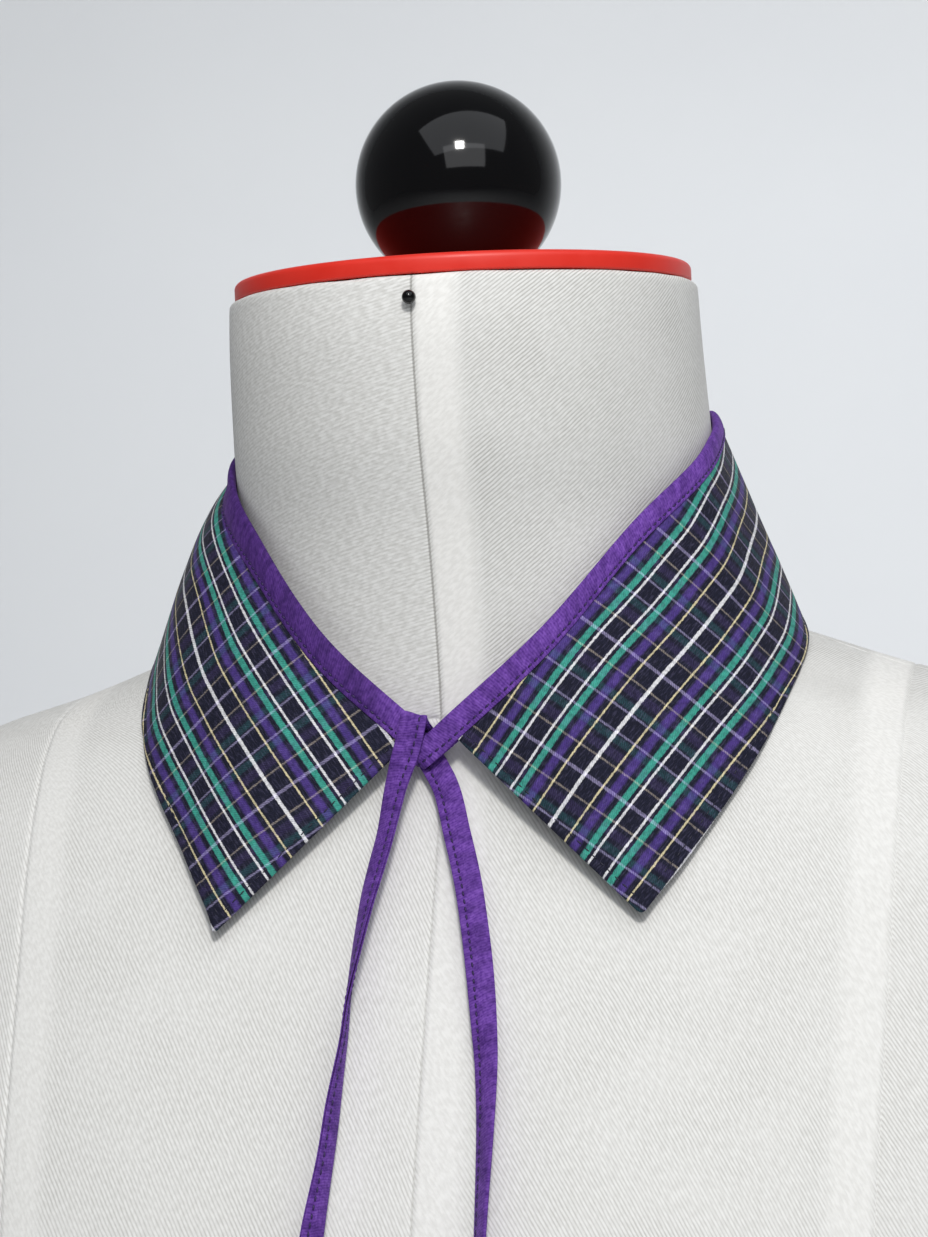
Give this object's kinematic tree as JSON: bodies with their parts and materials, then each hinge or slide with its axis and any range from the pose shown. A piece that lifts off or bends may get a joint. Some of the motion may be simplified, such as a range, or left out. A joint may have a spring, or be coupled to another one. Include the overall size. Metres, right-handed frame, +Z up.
{
  "type": "fabric collar necklace on a limbless dress form",
  "caption": "Pointed collar of checked cloth with a bound neckline that ties at the front in hanging ends, resting on a dress form with a neck plate and ball knob.",
  "frame": {"origin": "on the flat base of the dress form, under the middle of its neck", "axes": "+Z up, the front of the form and the knot face -Y, +X is the wearer's left"},
  "size_m": [0.315, 0.2323, 0.6422],
  "materials": {
    "navy_check": "woven cotton check",
    "purple_cotton": "bias-cut cotton strip",
    "twill_cover": "off-white cotton twill",
    "red_plate": "satin paint",
    "black_gloss": "gloss lacquer"
  },
  "bodies": {
    "root": {"collar": "navy_check", "neckline_binding": "purple_cotton", "knot_cross": "purple_cotton", "knot_wrap": "purple_cotton", "tie_left": "purple_cotton", "tie_right": "purple_cotton", "dress_form": "twill_cover", "neck_plate": "red_plate", "ball_knob": "black_gloss", "pin_head": "black_gloss"}
  },
  "joints": []
}
